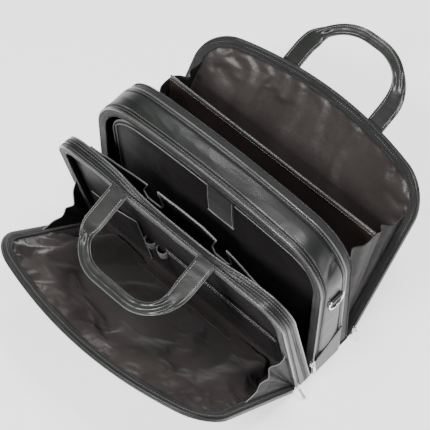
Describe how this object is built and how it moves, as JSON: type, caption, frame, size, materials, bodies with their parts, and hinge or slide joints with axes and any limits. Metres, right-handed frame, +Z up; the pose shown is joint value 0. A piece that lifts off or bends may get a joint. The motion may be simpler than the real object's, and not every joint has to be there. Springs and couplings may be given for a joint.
{
  "type": "leather briefcase",
  "caption": "Leather laptop bag standing wide open, with a hinged organiser section, fold-down front panel, file divider, fold-back rear panel and strap handles.",
  "frame": {"origin": "on the underside of the main body's base, midway across the bag", "axes": "+Z up, +X to the bag's right seen from the front, -Y towards the front panel"},
  "size_m": [0.4766, 0.6313, 0.317],
  "materials": {
    "leather": "smooth, soft gloss",
    "lining": "satin nylon",
    "divider_hide": "matt",
    "zip_tape": "ribbed",
    "stiffener": "matt",
    "nickel": "polished"
  },
  "bodies": {
    "main_body": {"main_base": "leather", "base_board": "stiffener", "rear_base": "leather", "main_band": "leather", "main_lining": "lining", "main_front_piping": "leather", "main_rear_piping": "leather", "laptop_zip_tape_rear": "zip_tape", "rear_zip_tape_main": "zip_tape", "laptop_back_wall": "lining", "laptop_sleeve": "lining", "laptop_strap": "leather", "d_ring_tab_left": "leather", "d_ring_tab_right": "leather", "inner_rear_gusset_left": "lining", "inner_rear_gusset_right": "lining"},
    "front_section": {"section_base": "leather", "section_band": "leather", "section_lining": "lining", "section_front_piping": "leather", "section_rear_piping": "leather", "front_zip_tape_section": "zip_tape", "laptop_zip_tape_front": "zip_tape", "organiser_wall": "lining", "notched_pocket": "lining", "slip_pocket": "lining", "organiser_zip_pocket": "lining", "pen_loop_1": "zip_tape", "pen_loop_2": "zip_tape", "front_gusset_left": "lining", "front_gusset_right": "lining"},
    "front_panel": {"front_panel_leather": "leather", "front_panel_foam": "stiffener", "front_panel_lining": "lining", "front_panel_piping": "leather", "front_panel_zip_tape": "zip_tape"},
    "file_divider": {"file_divider": "divider_hide", "divider_binding": "leather", "outer_rear_gusset_left": "lining", "outer_rear_gusset_right": "lining"},
    "rear_panel": {"rear_panel_leather": "leather", "rear_panel_foam": "stiffener", "rear_panel_lining": "lining", "rear_panel_piping": "leather", "rear_panel_zip_tape": "zip_tape", "rear_handle_patch_left": "leather", "rear_handle_patch_right": "leather"},
    "front_handle": {"front_handle": "leather"},
    "rear_handle": {"rear_handle": "leather"},
    "d_ring_left": {"d_ring_left": "nickel"},
    "d_ring_right": {"d_ring_right": "nickel"},
    "laptop_zip_slider_right": {"laptop_zip_slider_right": "nickel"},
    "laptop_zip_pull_right": {"laptop_zip_pull_right": "nickel"},
    "front_zip_slider_left": {"front_zip_slider_left": "nickel"},
    "front_zip_pull_left": {"front_zip_pull_left": "nickel"},
    "front_zip_slider_right": {"front_zip_slider_right": "nickel"},
    "front_zip_pull_right": {"front_zip_pull_right": "nickel"},
    "rear_zip_slider_right": {"rear_zip_slider_right": "nickel"},
    "rear_zip_pull_right": {"rear_zip_pull_right": "nickel"}
  },
  "joints": [
    {"name": "section_hinge", "type": "hinge", "parent": "main_body", "child": "front_section", "pos_m": [0, -0.0455, 0.001], "axis": [-1, 0, 0], "range_deg": [0, 8.5]},
    {"name": "front_panel_hinge", "type": "hinge", "parent": "front_section", "child": "front_panel", "pos_m": [0, -0.079, 0.004], "axis": [-1, 0, 0], "range_deg": [0, 31], "deforming": ["front_gusset_left", "front_gusset_right"]},
    {"name": "front_handle_hinge", "type": "hinge", "parent": "front_section", "child": "front_handle", "pos_m": [0, -0.13575, 0.285], "axis": [-1, 0, 0], "range_deg": [0, 100]},
    {"name": "file_divider_hinge", "type": "hinge", "parent": "main_body", "child": "file_divider", "pos_m": [0, 0.038, 0.002], "axis": [1, 0, 0], "range_deg": [0, 16.5], "deforming": ["inner_rear_gusset_left", "inner_rear_gusset_right"]},
    {"name": "rear_panel_hinge", "type": "hinge", "parent": "file_divider", "child": "rear_panel", "pos_m": [0, 0.038, 0.002], "axis": [1, 0, 0], "range_deg": [0, 16.5], "deforming": ["outer_rear_gusset_left", "outer_rear_gusset_right"]},
    {"name": "rear_handle_hinge", "type": "hinge", "parent": "rear_panel", "child": "rear_handle", "pos_m": [0, 0.22633, 0.2306], "axis": [1, 0, 0], "range_deg": [-86, 74]},
    {"name": "d_ring_left_hinge", "type": "hinge", "parent": "main_body", "child": "d_ring_left", "pos_m": [-0.2196, -0.015, 0.203], "axis": [0, 1, 0], "range_deg": [0, 140]},
    {"name": "d_ring_right_hinge", "type": "hinge", "parent": "main_body", "child": "d_ring_right", "pos_m": [0.2196, -0.015, 0.203], "axis": [0, -1, 0], "range_deg": [0, 140]},
    {"name": "laptop_zip_slide_right", "type": "slide", "parent": "main_body", "child": "laptop_zip_slider_right", "axis": [0, 0, 1], "range_m": [0, 0.13]},
    {"name": "laptop_zip_pull_hinge_right", "type": "hinge", "parent": "laptop_zip_slider_right", "child": "laptop_zip_pull_right", "pos_m": [0.2235, -0.0525, 0.052], "axis": [0, -1, 0], "range_deg": [0, 90]},
    {"name": "front_zip_slide_left", "type": "slide", "parent": "front_section", "child": "front_zip_slider_left", "axis": [0, -0.1867, 0.9824], "range_m": [0, 0.13]},
    {"name": "front_zip_pull_hinge_left", "type": "hinge", "parent": "front_zip_slider_left", "child": "front_zip_pull_left", "pos_m": [-0.2235, -0.084, 0.022], "axis": [0, 1, 0], "range_deg": [0, 58]},
    {"name": "front_zip_slide_right", "type": "slide", "parent": "front_section", "child": "front_zip_slider_right", "axis": [0, -0.1867, 0.9824], "range_m": [0, 0.13]},
    {"name": "front_zip_pull_hinge_right", "type": "hinge", "parent": "front_zip_slider_right", "child": "front_zip_pull_right", "pos_m": [0.2235, -0.084, 0.022], "axis": [0, -1, 0], "range_deg": [0, 58]},
    {"name": "rear_zip_slide_right", "type": "slide", "parent": "main_body", "child": "rear_zip_slider_right", "axis": [0, -0.0659, 0.9978], "range_m": [0, 0.13]},
    {"name": "rear_zip_pull_hinge_right", "type": "hinge", "parent": "rear_zip_slider_right", "child": "rear_zip_pull_right", "pos_m": [0.2235, 0.045, 0.026], "axis": [0, -1, 0], "range_deg": [0, 76]}
  ],
  "couplings": [
    {"joint": "front_handle_hinge", "follows": "front_panel_hinge", "ratio": 3.2},
    {"joint": "file_divider_hinge", "follows": "rear_panel_hinge", "ratio": 1}
  ]
}
